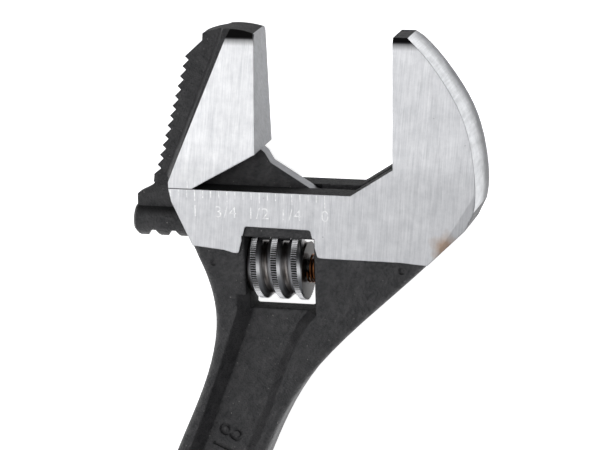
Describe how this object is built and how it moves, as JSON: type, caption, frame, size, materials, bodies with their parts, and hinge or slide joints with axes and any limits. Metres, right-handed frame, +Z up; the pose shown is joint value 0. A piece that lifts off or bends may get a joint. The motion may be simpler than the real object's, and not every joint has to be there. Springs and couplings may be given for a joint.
{
  "type": "adjustable wrench",
  "caption": "Adjustable wrench with a worm-driven sliding jaw, smooth on one side and toothed for pipe on the other, and a bare forged handle.",
  "frame": {"origin": "centre of the wrench's box in plan, on the plane its back faces lie on", "axes": "+Y along the jaw faces, away from the handle; +X from the movable jaw to the fixed jaw; +Z up through the thickness"},
  "size_m": [0.101, 0.1894, 0.0124],
  "materials": {
    "forged_body": "black phosphated forging with belt-ground faces",
    "forged_jaw": "black phosphated forging with belt-ground faces",
    "worm_steel": "turned and knurled, bright",
    "pin_steel": "turned",
    "spring_wire": "drawn wire with a copper flash"
  },
  "bodies": {
    "body": {"body": "forged_body", "worm_pin": "pin_steel", "pin_spring": "spring_wire"},
    "movable_jaw": {"movable_jaw": "forged_jaw"},
    "worm": {"worm": "worm_steel"}
  },
  "joints": [
    {"name": "jaw_slide", "type": "slide", "parent": "body", "child": "movable_jaw", "axis": [1, 0, 0], "range_m": [-0.002, 0.0265]},
    {"name": "worm_spin", "type": "hinge", "parent": "body", "child": "worm", "pos_m": [0.01284, 0.0479, 0.0062], "axis": [1, 0, 0], "range_deg": [-2400, 200]}
  ],
  "couplings": [
    {"joint": "worm_spin", "follows": "jaw_slide", "rad_per_m": -1570.8}
  ]
}
